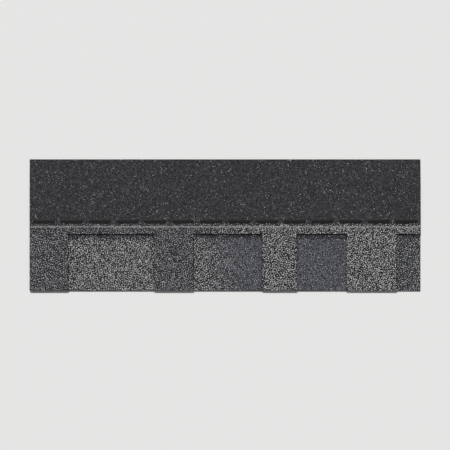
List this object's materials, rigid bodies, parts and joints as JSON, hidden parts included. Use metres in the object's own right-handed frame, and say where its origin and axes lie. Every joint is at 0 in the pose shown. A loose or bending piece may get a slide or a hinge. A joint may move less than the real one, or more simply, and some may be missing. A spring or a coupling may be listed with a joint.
{
  "type": "laminated asphalt shingle",
  "caption": "Laminated asphalt roofing shingle with a toothed, granule-surfaced top sheet bonded to a backing strip, sealing dashes on its face and a release film on its back.",
  "frame": {"origin": "centre of the shingle's outline, at the level of the floor that it lies on", "axes": "+X along the shingle's length, +Y from the butt edge to the head edge, +Z out of the weather face"},
  "size_m": [1.038, 0.349, 0.0063],
  "materials": {
    "granule_sheet": "matte",
    "sealing_asphalt": "gloss",
    "release_film": "gloss"
  },
  "bodies": {
    "root": {"top_sheet": "granule_sheet", "backing_strip": "granule_sheet", "release_film": "release_film", "seal_dash_01": "sealing_asphalt", "seal_dash_02": "sealing_asphalt", "seal_dash_03": "sealing_asphalt", "seal_dash_04": "sealing_asphalt", "seal_dash_05": "sealing_asphalt", "seal_dash_06": "sealing_asphalt", "seal_dash_07": "sealing_asphalt", "seal_dash_08": "sealing_asphalt", "seal_dash_09": "sealing_asphalt", "seal_dash_10": "sealing_asphalt", "seal_dash_11": "sealing_asphalt", "seal_dash_12": "sealing_asphalt", "seal_dash_13": "sealing_asphalt", "seal_dash_14": "sealing_asphalt"}
  },
  "joints": []
}
